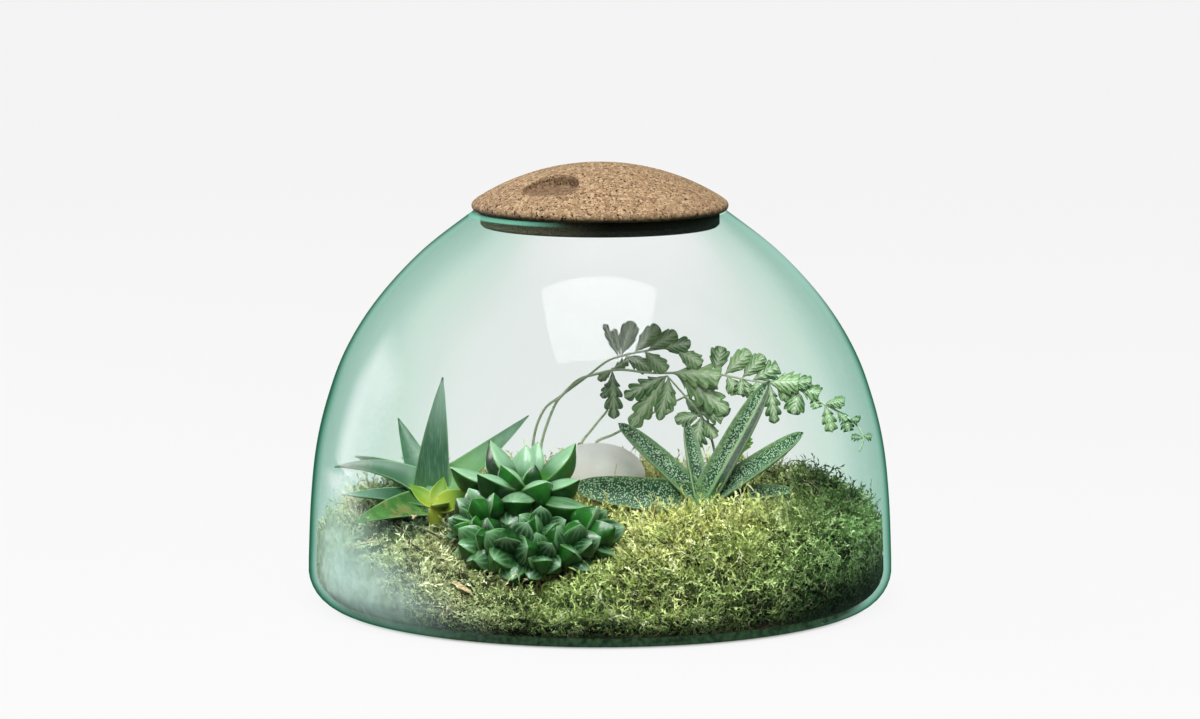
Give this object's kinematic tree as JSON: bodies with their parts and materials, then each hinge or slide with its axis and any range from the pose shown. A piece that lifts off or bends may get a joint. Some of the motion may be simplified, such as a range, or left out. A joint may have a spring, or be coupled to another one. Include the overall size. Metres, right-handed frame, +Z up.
{
  "type": "plant terrarium",
  "caption": "Low domed glass vessel with a cork lid, planted inside with moss, small succulents and an arching fern beside a pebble.",
  "frame": {"origin": "middle of the glass vessel's flat underside", "axes": "+Z up out of the neck, -Y towards the viewer of the picture, +X to the viewer's right"},
  "size_m": [0.2846, 0.2846, 0.2155],
  "materials": {
    "glass": "clear, slightly sea-green",
    "cork": "matte pressed cork grain",
    "soil": "matte, crumbly",
    "moss_left": "matte, feathery, partly dry",
    "moss_front": "matte, feathery, yellow-green",
    "moss_right": "matte, feathery, green",
    "moss_back": "matte, feathery",
    "stone": "matte, water-worn",
    "aloe": "smooth satin",
    "young_shoot": "smooth satin",
    "haworthia": "smooth, glossy",
    "gasteria": "satin with pale speckles",
    "fern": "soft matte",
    "fern_sprout": "soft matte",
    "twig": "matte bark",
    "dry_leaf": "matte, dry"
  },
  "bodies": {
    "root": {"glass_vessel": "glass", "cork_lid": "cork", "soil": "soil", "moss_left": "moss_left", "moss_front": "moss_front", "moss_right": "moss_right", "moss_back": "moss_back", "stone": "stone", "aloe": "aloe", "young_shoot": "young_shoot", "haworthia_clump": "haworthia", "gasteria": "gasteria", "fern_frond_1": "fern", "fern_frond_2": "fern", "fern_frond_3": "fern", "fern_frond_4": "fern", "fern_frond_5": "fern", "fern_sprout": "fern_sprout", "twig_1": "twig", "twig_2": "twig", "twig_3": "twig", "dry_leaf_1": "dry_leaf", "dry_leaf_2": "dry_leaf"}
  },
  "joints": []
}
